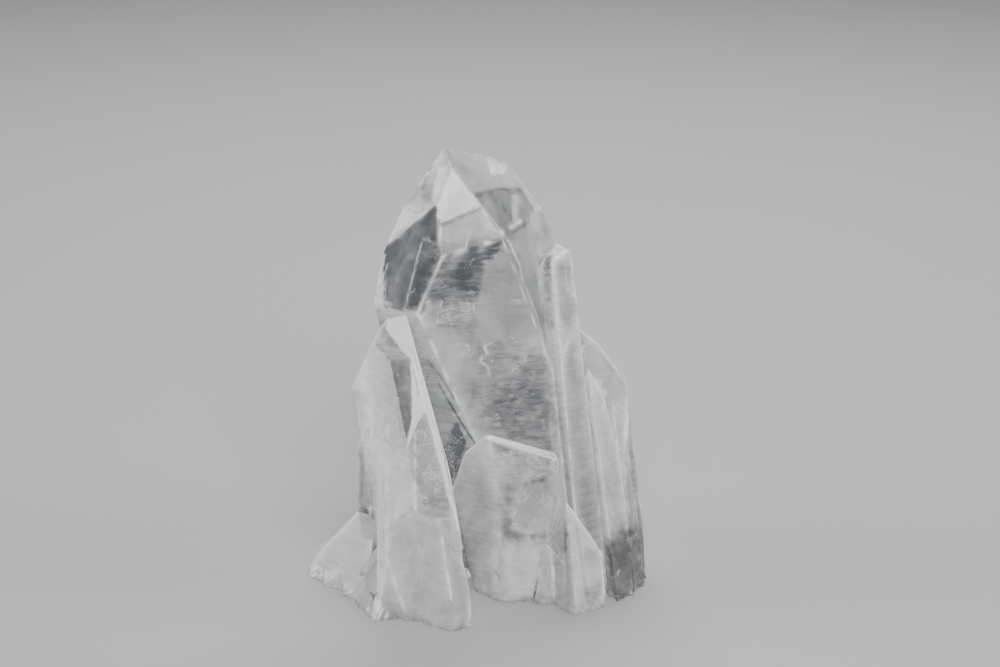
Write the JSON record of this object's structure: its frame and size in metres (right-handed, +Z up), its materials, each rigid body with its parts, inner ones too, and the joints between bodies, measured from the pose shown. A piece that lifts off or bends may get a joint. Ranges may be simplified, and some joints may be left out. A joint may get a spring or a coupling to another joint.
{
  "type": "quartz crystal cluster",
  "caption": "Free-standing cluster of clear to milky quartz: a tall tapered point with smaller crystals grown against its foot.",
  "frame": {"origin": "on the ground plane, under the middle of the cluster", "axes": "+Z up along the tall point, -Y towards the front"},
  "size_m": [0.0901, 0.0687, 0.1154],
  "materials": {
    "clear_quartz": "glossy growth faces, clear with thin white veils",
    "milky_quartz": "satin, cloudy white inside",
    "rosy_quartz": "glossy, faintly warm and cloudy",
    "greenish_quartz": "satin, faintly green and cloudy"
  },
  "bodies": {
    "root": {"main_point": "clear_quartz", "left_companion": "clear_quartz", "left_window": "clear_quartz", "right_slender": "clear_quartz", "front_right_wedge": "clear_quartz", "front_block": "rosy_quartz", "fan_inner": "greenish_quartz", "fan_middle": "milky_quartz", "fan_outer": "milky_quartz", "left_flare": "milky_quartz", "left_pale": "milky_quartz", "front_right_chip": "milky_quartz", "right_rib_inner": "milky_quartz", "right_rib_outer": "milky_quartz", "right_broad": "milky_quartz"}
  },
  "joints": []
}
